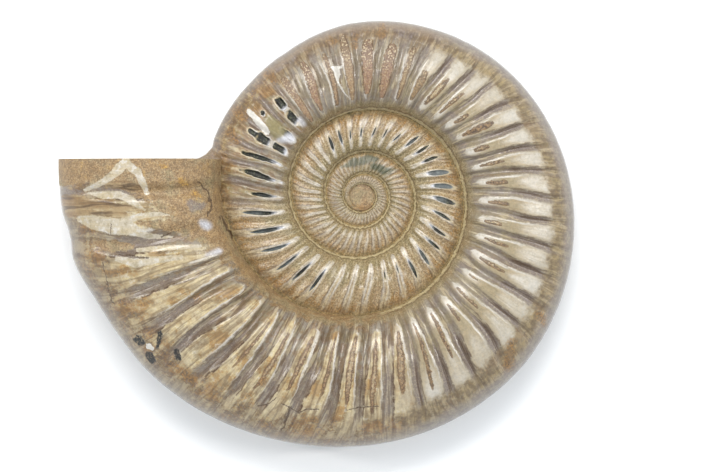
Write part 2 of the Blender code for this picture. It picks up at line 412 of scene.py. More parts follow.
def build_cut(build, upper, lower):
    """The rough face that ends the last whorl, in rings from the whorl before out to its own edge."""
    points = np.concatenate(build.points)
    inside = [int(p) for p in upper[0]] + [int(p) for p in lower[0][-2::-1]]
    outside = [int(p) for p in upper[1]] + [int(p) for p in lower[1][-2::-1]]

    def spread(row):
        steps = np.linalg.norm(np.diff(points[row], axis=0), axis=1)
        return np.concatenate([[0.0], np.cumsum(steps)]) / steps.sum()

    inner_run, outer_run = spread(inside), spread(outside)
    inner_points, outer_points = points[inside], points[outside]
    matched = np.stack([np.interp(outer_run, inner_run, inner_points[:, i]) for i in range(3)], axis=-1)
    rows = [rows_of(inner_run, inside, 0.0, CUT_FLANK)]
    for ring in range(1, CUT_RINGS):
        t = (ring / CUT_RINGS) ** CUT_CROWDING
        flat = matched * (1 - t) + outer_points * t
        reach = np.linalg.norm(flat - matched, axis=1)
        fillet = (matched[:, 1] - CUT_OFFSET) * np.clip(1 - reach / FILLET_REACH, 0, 1) ** 2
        fade = np.minimum(1.0, np.linalg.norm(flat - outer_points, axis=1) / CUT_EDGE)
        rough = np.array([noise.fractal(Vector(p) * CUT_GRAINS, 1.0, 2.0, 4) for p in flat])
        flat[:, 1] = CUT_OFFSET + fillet - CUT_ROUGHNESS * np.abs(rough) * fade
        numbers = build.add_points(flat[1:-1])
        middle = rows_of(outer_run[1:-1], numbers, t, CUT_FLANK)
        rows.append([(0.0, inside[0], t, CUT_FLANK), *middle, (1.0, inside[-1], t, CUT_FLANK)])
    rows.append(rows_of(outer_run, outside, 1.0, CUT_FLANK))
    for first, second in zip(rows, rows[1:]):
        build.zip_rows(first, second)


# Hollow crests: growth angle of the rib, the places where a hollow starts and ends, half its width
# as a share of the rib spacing, its depth as a share of the rim's radius, and how square it is
HOLLOWS = (
    (0.7, 0.16, 0.52, 0.12, 0.026, 1.6), (10.2, 0.12, 0.66, 0.15, 0.02, 1.8),
    (19.6, 0.13, 0.7, 0.15, 0.02, 1.8), (29.5, 0.13, 0.31, 0.23, 0.026, 3.6),
    (29.5, 0.35, 0.54, 0.24, 0.026, 3.6), (29.5, 0.56, 0.68, 0.13, 0.018, 2.4),
    (38.6, 0.12, 0.34, 0.2, 0.014, 2.2), (38.6, 0.6, 0.67, 0.1, 0.014, 2),
    (47.5, 0.2, 0.41, 0.25, 0.028, 3.8), (47.5, 0.45, 0.63, 0.21, 0.028, 3.4),
)
# Stretches of the whorls before in which every crest is hollow, with the same measures
HOLLOW_STRETCHES = (
    (-306, -285, 0.24, 0.6, 0.13, 0.03, 1.7), (-285, -232, 0.28, 0.52, 0.07, 0.018, 1.7),
    (-232, -205, 0.3, 0.66, 0.12, 0.02, 1.7), (-205, -170, 0.28, 0.7, 0.19, 0.016, 1.9),
    (-170, -120, 0.28, 0.64, 0.11, 0.016, 1.7), (-120, -95, 0.26, 0.42, 0.05, 0.012, 1.7),
    (-72, -30, 0.22, 0.64, 0.09, 0.02, 1.7), (-30, 0, 0.18, 0.64, 0.12, 0.028, 1.7),
)


def hollow_field(angle, across):
    """1 in the middle of a hollow, 0 on its edge, below 0 outside; its depth; and the way along it."""
    number = swayed_number(angle, across)
    crest = np.round(number)
    carvings = []
    for growth, *shape in HOLLOWS:
        off_crest = number - rib_number(growth)
        carvings.append((off_crest, np.abs(off_crest) < 1.0, shape))
    for first, last, *shape in HOLLOW_STRETCHES:
        allowed = (crest >= rib_number(first)) & (crest < rib_number(last)) & (angle < HOLLOWS_END)
        carvings.append((number - crest, allowed, shape))
    field = np.full(number.shape, -1.0)
    depth = np.zeros(number.shape)
    outward = np.zeros(number.shape)
    for off_crest, allowed, (low, high, half, deep, square) in carvings:
        along = np.abs(across - (low + high) / 2) / ((high - low) / 2)
        here = 1 - ((np.abs(off_crest) / half) ** square + along**square) ** (1 / square)
        here = np.where(allowed, here, -1.0)
        depth = np.where(here > field, deep, depth)
        outward = np.where(here > field, (across - low) / (high - low), outward)
        field = np.maximum(field, here)
    return field, depth, outward


def hollow_sink(angle, across):
    field, depth, _ = hollow_field(angle, across)
    return depth * smooth(0.0, HOLLOW_SLOPE, field)


def resting_matrix(points):
    """From the coil's own frame to the part's: level on three lower crests, and centred in plan."""
    crests = surface(np.array(REST_ANGLES), CREST_SHARE, HALF_THICKNESS, (0.0, 1.0), 0.0)
    touching = crests * (1, 1, -1)
    a, b, c = (Vector(point) for point in touching)
    normal = (b - a).cross(c - a).normalized()
    if normal.z > 0:
        normal = -normal
    turn = normal.rotation_difference(Vector((0.0, 0.0, -1.0))).to_matrix()
    turned = points @ np.array(turn).T
    middle = (turned.min(axis=0) + turned.max(axis=0)) / 2
    place = Vector((-middle[0], -middle[1], -(turn @ a).z - REST_GRIND))
    return Matrix.Translation(place) @ turn.to_4x4()


def build_shell():
    """The fine mesh of the coil, as an object in the part's frame, with its places kept on it."""
    angles, emerge = column_angles()
    build = Builder()
    upper = build_flank(build, angles, emerge, 1, None)
    lower = build_flank(build, angles, emerge, -1, upper[2])
    build_cut(build, upper, lower)
    points = np.concatenate(build.points)
    faces = np.concatenate(build.faces)
    corners = np.concatenate(build.corners)
    used = np.unique(faces)
    renumber = np.full(len(points), -1)
    renumber[used] = np.arange(len(used))
    points, faces = points[used], renumber[faces]

    matrix = resting_matrix(points)
    placed = points @ np.array(matrix.to_3x3()).T + np.array(matrix.translation)
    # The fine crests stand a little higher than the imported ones, so the mesh is scaled into the CAD's box
    placed[:, 2] = np.maximum(placed[:, 2], 0.0)
    beyond = placed.max(axis=0) / np.array(CAD_BOX[1])
    placed = placed / np.maximum(beyond, 1.0)

    mesh = bpy.data.meshes.new("ammonite_polished")
    mesh.from_pydata(placed.tolist(), [], faces.tolist())
    growth, across, flank = corners.reshape(-1, 3).T
    ribs = mesh.uv_layers.new(name="ribs")
    ribs.data.foreach_set("uv", np.stack([swayed_number(growth, across), across], axis=-1).ravel())
    coil = mesh.uv_layers.new(name="coil")
    coil.data.foreach_set("uv", np.stack([growth / TURN, flank], axis=-1).ravel())
    keep_looks(mesh, 1000 * placed[faces.ravel(), :2], growth, across, flank)

    shell = bpy.data.objects.new("ammonite_polished", mesh)
    bpy.context.scene.collection.objects.link(shell)
    fixed = bmesh.new()
    fixed.from_mesh(mesh)
    bmesh.ops.recalc_face_normals(fixed, faces=fixed.faces)
    fixed.to_mesh(mesh)
    fixed.free()
    mesh.shade_smooth()
    mesh.set_sharp_from_angle(angle=math.radians(SHARP_DEGREES))
    return shell


def srgb(red, green, blue):
    """Linear RGB of a colour given as sRGB values out of 255."""
    share = np.array((red, green, blue)) / 255.0
    return np.where(share <= 0.04045, share / 12.92, ((share + 0.055) / 1.055) ** 2.4)


# The kinds of stone that the polish shows
CREAM = srgb(204, 188, 154)
PEARL = srgb(204, 193, 172)
CHALK = srgb(222, 217, 207)
HONEY = srgb(198, 173, 122)
KHAKI = srgb(154, 139, 101)
GREY_SHELL = srgb(156, 146, 130)
MAUVE_SHELL = srgb(136, 122, 116)
SAND = srgb(172, 148, 110)
TAWNY = srgb(144, 115, 78)
ROSE = srgb(156, 121, 96)
OCHRE = srgb(164, 121, 64)
GOLD = srgb(192, 152, 74)
PALE_YELLOW = srgb(226, 208, 160)
UMBER = srgb(88, 66, 46)
OLIVE = srgb(144, 138, 94)
MOSS = srgb(84, 88, 66)
SMOKE = srgb(112, 118, 118)
# Painted glare: a bluish white that stands for the lamps' glare on the polish
PAINTED_GLARE = srgb(224, 224, 230)
SHADOW = srgb(36, 34, 30)
# Painted shade for the rim's very edge
RIM_SHADE = (UMBER + SMOKE) / 2

# Stretches of the last whorl by the stone on its crests: first and last growth angle
STRETCHES = {
    "brown": (-4.0, 54.0),
    "grey": (50.0, 116.0),
    "pearly": (116.0, 258.0),
    "honeyed": (258.0, 420.0),
}
STRETCH_BLEND = 14.0

# Windows that the polish has cut through the crests: growth angle, the places where a window
# starts and ends, and half its width as a share of the rib spacing
WINDOWS = (
    (52, 0.14, 0.72, 0), (54, 0.13, 0.8, 0.22), (104, 0.13, 0.78, 0.2), (118, 0.16, 0.52, 0.13),
    (150, 0.18, 0.42, 0.11), (200, 0.18, 0.38, 0.1), (212, 0.16, 0.34, 0.04), (238, 0.16, 0.4, 0.05),
    (247, 0.16, 0.62, 0.11), (262, 0.15, 0.7, 0.11), (290, 0.15, 0.68, 0.09), (306, 0.2, 0.6, 0.05),
    (318, 0.2, 0.6, 0),
)
# How far out from the seam bare rock shows: growth angle and place
ROCK_EDGE = (
    (-1340, -0.1), (250, -0.1), (262, 0.03), (320, 0.05), (336, 0.1), (343, 0.2), (348, 0.36),
    (351, 0.44), (354, 0.6), (357, 1.3),
)
KNOB_END = -1090.0  # growth angle at which the granular middle gives way to ribs
KNOB_ROCK = 0.3
EARLY_END = (-14.0, 6.0)
OLD_END = (-440.0, -330.0)
FAR_OUTSIDE = -20.0  # depth inside a mark, in millimetres, where there is none
SEAM_ON_EARLY = 0.86  # place across a whorl at which the next one covers it

# Marks on the upper flank. Each is a run of points at pixels of the photograph's 708 x 472 frame,
# with half the mark's width in millimetres at each point.
SHELL_BANDS = (
    ((84, 190, 0.6), (99, 184, 1), (112, 176, 1.3), (120, 168, 1.8), (126, 162, 1.6)),
    ((126, 163, 1.3), (138, 172, 1.4), (144, 184, 1.2), (147, 193, 0.9)),
    ((88, 193, 0.4), (104, 195, 1.4), (120, 195, 1.3), (132, 201, 1.3), (145, 210, 0.3)),
    ((79, 219, 1.2), (92, 222, 2.3), (111, 226, 2.8), (129, 228, 2.5), (148, 236, 1), (172, 237, 0.4)),
    ((122, 222, 1.2), (140, 216, 1.1), (160, 214, 0.7), (170, 215, 0.2)),
    ((117, 259, 0.9), (135, 262, 1.9), (157, 260, 1.2), (181, 257, 0.8)),
    ((138, 250, 0.7), (165, 248, 1), (200, 246, 0.6)),
)
CHALK_MARKS = (
    ((332, 66, 0.4), (336, 68, 1.1), (337, 73, 1), (338, 81, 0.2)), ((336, 67, 0.9), (341, 66, 0.4)),
    ((338, 81, 0.25), (343, 90, 0.3), (348, 96, 0.15)), ((248, 110, 0.8), (257, 120, 1.1), (266, 131, 1)),
    ((148, 347, 0.9), (151, 349, 0.7)),
)
PIT_MARKS = (
    ((136, 340, 1.5), (139, 343, 1.3)), ((148, 356, 1.4), (151, 360, 1.5)),
    ((176, 352, 1), (178, 358, 1)), ((160, 333, 0.8), (157, 347, 0.7)),
)
CRACKS = (
    ((102, 263, 0.12), (107, 288, 0.14), (112, 306, 0.12)), ((111, 224, 0.08), (111, 235, 0.1)),
    ((198, 182, 0.15), (207, 191, 0.25), (211, 204, 0.25), (208, 216, 0.2)),
    ((220, 216, 0.2), (226, 228, 0.3), (232, 238, 0.2)), ((162, 237, 0.2), (171, 233, 0.15)),
    ((290, 407, 0.2), (287, 418, 0.3), (282, 431, 0.35)),
    ((282, 404, 0.12), (299, 414, 0.15), (306, 410, 0.15), (318, 410, 0.12)),
    ((258, 407, 0.15), (268, 405, 0.15), (276, 398, 0.1)),
    ((345, 411, 0.1), (362, 408, 0.12), (378, 407, 0.1)),
    ((119, 255, 0.25), (133, 257, 0.35), (148, 258, 0.2)),
)
# Marks wide enough for the mesh to carry. The narrow ones are laid in the material.
WIDE_MARKS = {
    "rock_mark": (
        ((62, 172, 4.6), (84, 170, 4.2), (106, 165, 2.6), (119, 160, 0.9)),
        ((94, 242, 0.8), (112, 246, 2), (132, 247, 1)),
        ((138, 224, 0.6), (160, 225, 1.5), (186, 226, 2.6)), ((359, 198, 4.2), (362, 197, 4.2)),
    ),
    "tawny_mark": (
        ((104, 187, 0.3), (122, 184, 1.9), (138, 188, 1.1)),
        ((64, 200, 2.2), (84, 203, 1.7), (104, 205, 1.5), (132, 208, 0.6)),
        ((68, 212, 1.8), (96, 213, 0.7), (118, 213, 0.9), (146, 214, 0.2)),
    ),
    "yellow_mark": (
        ((160, 165, 0.8), (167, 167, 0.9)), ((181, 180, 1), (186, 184, 0.9)),
        ((193, 192, 0.7), (199, 197, 0.8)),
    ),
    "mauve_mark": (
        ((188, 200, 0.9), (194, 208, 1.6), (203, 205, 1)), ((60, 190, 0.9), (84, 194, 0.8)),
    ),
    "green_mark": (
        ((342, 166, 0.3), (352, 162, 1.3), (368, 158, 1.4), (376, 158, 0.8)),
        ((374, 165, 1), (385, 170, 1.3), (394, 169, 0.5)),
    ),
    # Painted highlights: white spots of the lamps' glare on the polish.
    "glare_mark": (
        ((203, 223, 1.3), (207, 226, 1.5)), ((204, 256, 0.3), (219, 251, 1)),
        ((280, 138, 1.3), (290, 137, 1.6)), ((299, 118, 0.6), (303, 123, 0.8)),
    ),
    "olive_mark": (
        ((269, 119, 1.4), (277, 130, 2.6)),
    ),
    "rust_mark": (
        ((91, 250, 1.2), (89, 256, 1.5)), ((262, 381, 1.3), (263, 383, 1.3)),
        ((242, 399, 1), (249, 395, 1)), ((303, 417, 1), (313, 421, 1.5)),
        ((542, 315, 1.6), (545, 324, 1.2)), ((513, 343, 1.6), (510, 367, 1.8)),
        ((382, 22, 0.9), (382, 32, 1.3)), ((355, 34, 0.7), (355, 46, 0.9)),
        ((267, 72, 1.7), (272, 78, 1.2)), ((233, 107, 1.3), (244, 117, 1.4)),
        ((230, 131, 1.5), (236, 138, 1.5)), ((330, 38, 1), (334, 40, 1)),
        ((106, 272, 1.4), (122, 273, 1.2)), ((141, 301, 1.7), (150, 303, 1.4)),
        ((192, 296, 1), (198, 297, 1.3)), ((180, 372, 2), (192, 380, 1.6)),
        ((353, 204, 0.8), (364, 208, 0.8)),
    ),
}


def on_photo(x, y):
    """Millimetres in plan of a pixel of the photograph, for a point on the upper flank."""
    pixel = PIXEL * (CAMERA_HEIGHT - FLANK_HEIGHT) / (CAMERA_HEIGHT - RIM_HEIGHT)
    along = (x - PHOTO_SIZE[0] / 2) * pixel + CAMERA_OVER[0]
    up = (PHOTO_SIZE[1] / 2 - y) * pixel + CAMERA_OVER[1]
    return 1000 * np.array((along, up, 0.0))


def runs_of(strokes):
    """Every straight run of the strokes: its start, the way to its end, and half its width at both."""
    for stroke in strokes:
        for (ax, ay, start_half), (bx, by, end_half) in zip(stroke, stroke[1:]):
            start = on_photo(ax, ay)
            yield start, on_photo(bx, by) - start, start_half, end_half


def depth_inside(places, strokes):
    """How far inside the nearest stroke each place is, in millimetres, and below 0 outside all of them."""
    deepest = np.full(len(places), -np.inf)
    for start, run, start_half, end_half in runs_of(strokes):
        offset = places - start[:2]
        along = np.clip(offset @ run[:2] / (run @ run), 0.0, 1.0)
        distance = np.linalg.norm(offset - along[:, None] * run[:2], axis=1)
        deepest = np.maximum(deepest, start_half + (end_half - start_half) * along - distance)
    return deepest


def stretch(growth, first, last):
    """1 along a stretch of the coil, falling off at its ends."""
    half = STRETCH_BLEND / 2
    return smooth(first - half, first + half, growth) * (1 - smooth(last - half, last + half, growth))


def keep_looks(mesh, plan, growth, across, flank):
    """Stores on the mesh's corners what the stone's material reads. plan is in millimetres."""
    on_coil = flank < CUT_FLANK
    spacing = 1 / (rib_number(growth + 0.5) - rib_number(growth - 0.5))
    radius = rim_radius(growth) * (SEAM_SHARE + (1 - SEAM_SHARE) * np.clip(across, 0, 1))
    hollow, _, outward = hollow_field(growth, across)
    rock = np.where(growth < KNOB_END, KNOB_ROCK, interpolate(ROCK_EDGE, growth) - across)
    values = {
        "span": 1000 * radius * np.radians(spacing),
        "reach": 1000 * rim_radius(growth) * (1 - SEAM_SHARE),
        "hollow": np.where(on_coil, hollow, -1.0),
        "outward": outward,
        "rock": np.where(on_coil, rock, 1.0),
        "early": 1 - smooth(*EARLY_END, growth),
        "old": 1 - smooth(*OLD_END, growth),
        "upper": (flank > 0).astype(float),
    }
    angles, *measures = np.array(WINDOWS).T
    for name, measure in zip(("window_low", "window_high", "window_half"), measures):
        values[name] = np.interp(growth, angles, measure)
    for name, ends in STRETCHES.items():
        values[name] = stretch(growth, *ends)
    for name, strokes in WIDE_MARKS.items():
        values[name] = np.where(flank > 0, depth_inside(plan, strokes), FAR_OUTSIDE)
    for name, value in values.items():
        mesh.attributes.new(name, "FLOAT", "CORNER").data.foreach_set("value", value.astype(np.float32))


class Field:
    """A value, place or colour that flows through a material's nodes. Arithmetic on it adds the node."""

    def __init__(self, nodes, socket):
        self.nodes = nodes
        self.socket = socket

    def math(self, operation, *others):
        return self.nodes.add("Math", dict(enumerate((self, *others))), operation=operation)

    def __rsub__(self, other):
        return self.math("MULTIPLY_ADD", -1.0, other)

    __add__ = partialmethod(math, "ADD")
    __sub__ = partialmethod(math, "SUBTRACT")
    __mul__ = partialmethod(math, "MULTIPLY")
    __truediv__ = partialmethod(math, "DIVIDE")
    __abs__ = partialmethod(math, "ABSOLUTE")
    most = partialmethod(math, "MAXIMUM")

    def rise(self, low, high):
        """0 below low, 1 above high, and an even S in between."""
        inputs = {"Value": self, "From Min": low, "From Max": high}
        return self.nodes.add("MapRange", inputs, interpolation_type="SMOOTHSTEP")

    def fall(self, low, high):
        """1 below low and 0 above high."""
        return 1.0 - self.rise(low, high)


class Nodes:
    """Adds nodes to one material and hands back their outputs as fields."""

    def __init__(self, tree):
        self.tree = tree

    def plug(self, value, slot):
        if isinstance(value, Field):
            self.tree.links.new(value.socket, slot)
        elif isinstance(value, (tuple, np.ndarray)):
            slot.default_value = (*value, 1.0) if len(slot.default_value) == 4 else tuple(value)
        else:
            slot.default_value = value

    def add(self, kind, inputs, output=0, **settings):
        node = self.tree.nodes.new("ShaderNode" + kind)
        for name, value in settings.items():
            setattr(node, name, value)
        for name, value in inputs.items():
            self.plug(value, node.inputs[name])
        return Field(self, node.outputs[output])

    def attribute(self, name):
        return self.add("Attribute", {}, "Fac", attribute_name=name)

    def parts(self, place):
        """The first two values of a place."""
        return [self.add("SeparateXYZ", {0: place}, axis) for axis in ("X", "Y")]

    def place(self, x, y, z=0.0):
        return self.add("CombineXYZ", {0: x, 1: y, 2: z})

    def vector(self, operation, *values, output="Vector", **inputs):
        inputs.update(enumerate(values))
        return self.add("VectorMath", inputs, output, operation=operation)

    def cloud(self, where, scale, detail=2.0, roughness=0.5):
        """Noise from 0 to 1, with about scale grains to a unit of the place."""
        inputs = {"Vector": where, "Scale": scale, "Detail": detail, "Roughness": roughness}
        return self.add("TexNoise", inputs, "Fac")

    def cells(self, where, scale):
        """Distance to the nearest cell's middle."""
        return self.add("TexVoronoi", {"Vector": where, "Scale": scale}, "Distance")

    def blend(self, share, base, over):
        """base where share is 0 and over where it is 1."""
        return self.add("Mix", {"Factor": share, 6: base, 7: over}, 2, data_type="RGBA")

    def layers(self, base, *coats):
        """base under coats that are laid in turn, each a share and a colour."""
        for share, colour in coats:
            base = self.blend(share, base, colour)
        return base

    def inside(self, where, strokes):
        """How far inside the nearest stroke a place is, in millimetres, and below 0 outside all of them."""
        deepest = None
        for start, run, start_half, end_half in runs_of(strokes):
            offset = self.vector("SUBTRACT", where, start)
            along = self.vector("DOT_PRODUCT", offset, run / (run @ run), output="Value")
            along = self.add("Clamp", {"Value": along})
            nearest = self.vector("SCALE", run, Scale=along)
            distance = self.vector("DISTANCE", offset, nearest, output="Value")
            depth = along.math("MULTIPLY_ADD", end_half - start_half, start_half) - distance
            deepest = depth if deepest is None else deepest.most(depth)
        return deepest


class Stone(Nodes):
    """What every coat of the stone's colour is laid out by, and the colour so far."""

    def __init__(self, tree):
        super().__init__(tree)
        self.number, self.across = self.parts(self.add("UVMap", {}, uv_map="ribs"))
        _, self.flank = self.parts(self.add("UVMap", {}, uv_map="coil"))
        for name in ("span", "early", "old", *STRETCHES):
            setattr(self, name, self.attribute(name))
        here = self.vector("SCALE", self.add("TexCoord", {}, "Object"), Scale=1000.0)
        self.plan = self.place(*self.parts(here))
        rib = (self.number + 0.5).math("FLOOR")
        self.seed = rib + self.flank * 57.0
        bend = self.cloud(here, 0.3, 3.0) - 0.5
        self.fray = self.cloud(here, 1.1, 3.0, 0.65) - 0.5
        self.phase = self.number - rib + bend * 0.16 + self.fray * 0.7 / self.span
        self.aside = abs(self.phase)
        self.after = self.phase.rise(-0.06, 0.06)
        self.mottle = self.cloud(here, 0.4, 4.0, 0.62)
        self.patches = self.cloud(here, 0.13, 3.0, 0.55)
        self.smudges = self.patches + self.fray * 0.5
        self.grain = self.cloud(here, 1.35, 3.0, 0.75)
        self.fine = self.cloud(here, 2.1, 2.0, 0.6)
        self.specks = self.cells(here, 1.4)
        self.facets = self.cells(here, 0.45) - 0.5
        along = self.place(self.number * 9.0, self.across * 2.0, self.flank * 7.0)
        self.streaks = self.cloud(along, 1.5, 4.0, 0.62)
        lines = self.place(self.number * 3.4, self.across * 2.2, self.flank * 5.0)
        lines = self.cloud(lines, 1.0, 3.0, 0.6)
        self.veins = abs(lines - 0.5).fall(0.01, 0.075)
        self.pale_veins = abs(lines - 0.4).fall(0.01, 0.06)
        self.colour = None

    def chance(self, channel):
        """A random value from 0 to 1 that stays the same along a rib."""
        inputs = {"Vector": self.place(self.seed, channel)}
        return self.add("TexWhiteNoise", inputs, "Value", noise_dimensions="2D")

    def coat(self, share, colour):
        self.colour = self.blend(share, self.colour, colour)


def crest_stone(stone):
    """The polished crests: smooth and pearly at the right, honeyed below, brown at the left; the pearly
    ones with a painted sheen.
    """
    dusk = stone.pearly * stone.across.rise(0.2, 0.32) * stone.across.fall(0.42, 0.58)
    rusty = stone.brown * stone.across.rise(0.5, 0.75) * stone.patches.rise(0.42, 0.55)
    busy = 1.0 - stone.pearly * 0.65
    # Pale pearly shell and painted highlight: the tip and belly patches are painted where a lamp's sheen
    # lies on the inner tip and outer belly of each pearly crest.
    tip = stone.across.rise(0.08, 0.15) * stone.across.fall(0.17, 0.32) * stone.aside.fall(0.02, 0.22)
    ragged = stone.across + (stone.mottle - 0.5) * 0.16
    belly_sheen = (ragged.rise(0.34, 0.7) * 0.34 - stone.aside).rise(-0.04, 0.22) * ragged.fall(0.71, 0.8)
    belly_sheen = belly_sheen * ragged.rise(0.38, 0.56) * (stone.chance(7.0) * 0.6 + 0.4)
    pearl_and_sheen = stone.blend(stone.patches.rise(0.42, 0.58) * 0.6, CHALK, PEARL)
    return stone.layers(
        CREAM,
        (stone.grey, GREY_SHELL),
        (stone.pearly * 0.5, GREY_SHELL),
        (dusk * 0.5, KHAKI),
        (stone.honeyed * stone.patches.rise(0.4, 0.62) * 0.8, HONEY),
        (stone.honeyed * stone.mottle.fall(0.4, 0.5) * 0.6, PALE_YELLOW),
        (stone.honeyed * stone.smudges.rise(0.55, 0.63) * 0.7, OCHRE),
        (stone.brown, stone.blend(stone.mottle.rise(0.42, 0.58), KHAKI, TAWNY)),
        (rusty * 0.7, OCHRE),
        (stone.early * (stone.old * 0.2 + 0.35), SAND),
        (stone.streaks.rise(0.44, 0.6) * busy * 0.6, SAND),
        (stone.mottle.rise(0.52, 0.68) * busy * 0.5, TAWNY),
        (stone.fray.rise(0.04, 0.2) * stone.pearly * 0.35, SAND),
        (stone.veins * (0.45 - stone.pearly * 0.35), UMBER),
        (tip.most(belly_sheen) * stone.pearly * 0.8, pearl_and_sheen),
        (stone.grain.rise(0.54, 0.66) * stone.pearly * 0.3, SAND),
        (stone.fine.fall(0.38, 0.46) * stone.early * 0.45, TAWNY),
        (stone.mottle.fall(0.32, 0.42) * busy * 0.35, CHALK),
    )


def groove_stone(stone):
    """The grooves between: sandy and khaki on the whorls before, smooth grey with streaks on the last."""
    grooves = stone.layers(
        GREY_SHELL,
        (stone.mottle.rise(0.42, 0.6) * 0.6, MAUVE_SHELL),
        (stone.patches.rise(0.45, 0.6) * 0.5, KHAKI),
        (stone.honeyed.most(stone.brown) * stone.mottle.rise(0.46, 0.56) * 0.5, TAWNY),
        (stone.streaks.rise(0.52, 0.64) * 0.5, TAWNY),
        (stone.pale_veins * (0.6 - stone.brown * 0.3), CREAM),
        (stone.veins * (stone.honeyed * 0.4 + 0.1), UMBER),
    )
    rusty = (stone.across + (stone.patches - 0.5) * 0.6).rise(0.55, 0.78)
    sandy = stone.layers(
        KHAKI,
        ((stone.across + (stone.patches - 0.5) * 1.2).rise(0.15, 0.5), SAND),
        (rusty * (stone.grain + 0.3).rise(0.7, 0.84) * 0.8, OCHRE),
        (stone.streaks.rise(0.5, 0.62) * 0.45, TAWNY),
        (stone.pale_veins * 0.4, CREAM),
        (stone.fine.rise(0.54, 0.62) * 0.5, CREAM),
        (stone.fine.fall(0.38, 0.46) * 0.45, UMBER),
    )
    return stone.blend(stone.early, grooves, sandy)


def coat_ribs(stone):
    """Crests and grooves, a dark line after each crest, partly brown outline and partly painted shade, and
    a pale one before it, a painted highlight.
    """
    late = 1.0 - stone.early
    widening = stone.across.rise(0.05, 0.62) * 0.14 * late
    early_half = stone.across.rise(0.1, 0.4) * 0.03 - 0.045 - stone.old * 0.01
    half = widening + stone.early * early_half + 0.18
    edge = (stone.aside - half) * stone.span + (stone.streaks - 0.5) * 1.5 * late
    edge = edge.most((0.1 - stone.across) * 40.0 + stone.aside * 7.0 + stone.fray * 2.0)
    stone.colour = stone.blend(edge.rise(-0.7, 0.7), crest_stone(stone), groove_stone(stone))

    room = ((stone.across - 0.34) * (0.84 - stone.across) * 16.0).most(0.0).math("POWER", 0.7)
    lens = (stone.aside - 0.5 + room * 0.17) * stone.span + (stone.streaks - 0.5) * 1.6
    lens = lens.rise(-0.15, 0.55) * late * (1.0 - stone.grey * 0.7 - stone.honeyed * 0.3)
    grey = stone.blend(stone.grain.rise(0.48, 0.64) * 0.6, MAUVE_SHELL, GREY_SHELL)
    stone.coat(lens * 0.75, stone.blend(stone.fine.rise(0.55, 0.63) * 0.5, grey, CREAM))
    # Painted shade: a dark edge along the side of each groove's lens that lies after the crest.
    dark = lens * stone.after * stone.across.rise(0.36, 0.5) * stone.streaks.rise(0.34, 0.56)
    stone.coat(dark * 0.8, UMBER)

    # Painted highlight: a thin pale line beside each crest, before it on the last whorl and on both sides
    # on the whorls before.
    gleam = edge.rise(-0.9, -0.3) * edge.fall(-0.1, 0.4) * stone.across.fall(0.5, 0.8)
    before = stone.early.most(1.0 - stone.after)
    kept = 0.7 - stone.brown * 0.35 - stone.early * 0.15 - stone.old * 0.2
    stone.coat(gleam * before * stone.streaks.rise(0.36, 0.54) * kept, CHALK)
    # A thin brown outline at each crest's edge, darker after the crest as painted shade.
    line = edge.rise(-0.3, 0.1) * edge.fall(0.1, 0.6) * stone.across.rise(0.26, 0.42)
    traced = stone.after * 0.5 + stone.honeyed * 0.45 + 0.1
    stone.coat(line * traced * stone.mottle.rise(0.34, 0.5), UMBER)


def coat_outer(stone):
    """The stretch past the flats, mottled and streaked along the finer ribs, and the plainer rim, darkened
    at its very edge by painted shade.
    """
    tinted = 1.0 - stone.grey - stone.pearly * 0.65
    mottled = stone.layers(
        TAWNY,
        (stone.patches.rise(0.44, 0.58), MAUVE_SHELL),
        (stone.pearly * 0.6, KHAKI),
        (stone.mottle.rise(0.46, 0.6) * 0.6, UMBER),
        (stone.streaks.rise(0.46, 0.6) * 0.35, KHAKI),
        ((stone.mottle + stone.fray * 0.6).fall(0.38, 0.48) * 0.7 * tinted, HONEY),
        (stone.smudges.rise(0.52, 0.62) * 0.6 * tinted, OCHRE),
        (stone.grain.rise(0.54, 0.64) * 0.5 * tinted, GOLD),
        (stone.honeyed * stone.smudges.fall(0.42, 0.5) * 0.6, CREAM),
        (stone.pale_veins * 0.2, CREAM),
        (stone.veins * 0.4, UMBER),
    )
    start = stone.across + (stone.mottle - 0.5) * 0.12 + (stone.patches - 0.5) * 0.16
    sharp = start.rise(0.73, 0.8) * stone.pearly
    soft = start.rise(0.72, 0.86) * (1.0 - stone.pearly)
    stone.coat((sharp + soft) * 0.85, mottled)
    rim = stone.blend(stone.mottle.rise(0.42, 0.56) * 0.7, GREY_SHELL, MAUVE_SHELL)
    rim = stone.blend(stone.grey.most(stone.honeyed) * 0.6, rim, TAWNY)
    plain = stone.pearly * 0.5 + stone.grey * 0.6 + 0.2
    stone.coat((stone.across + (stone.patches - 0.5) * 0.1).rise(0.87, 0.94) * plain, rim)
    # Painted shade: the rim darkens towards its very edge.
    stone.coat(stone.across.rise(0.9, 1.0) * 0.45, RIM_SHADE)


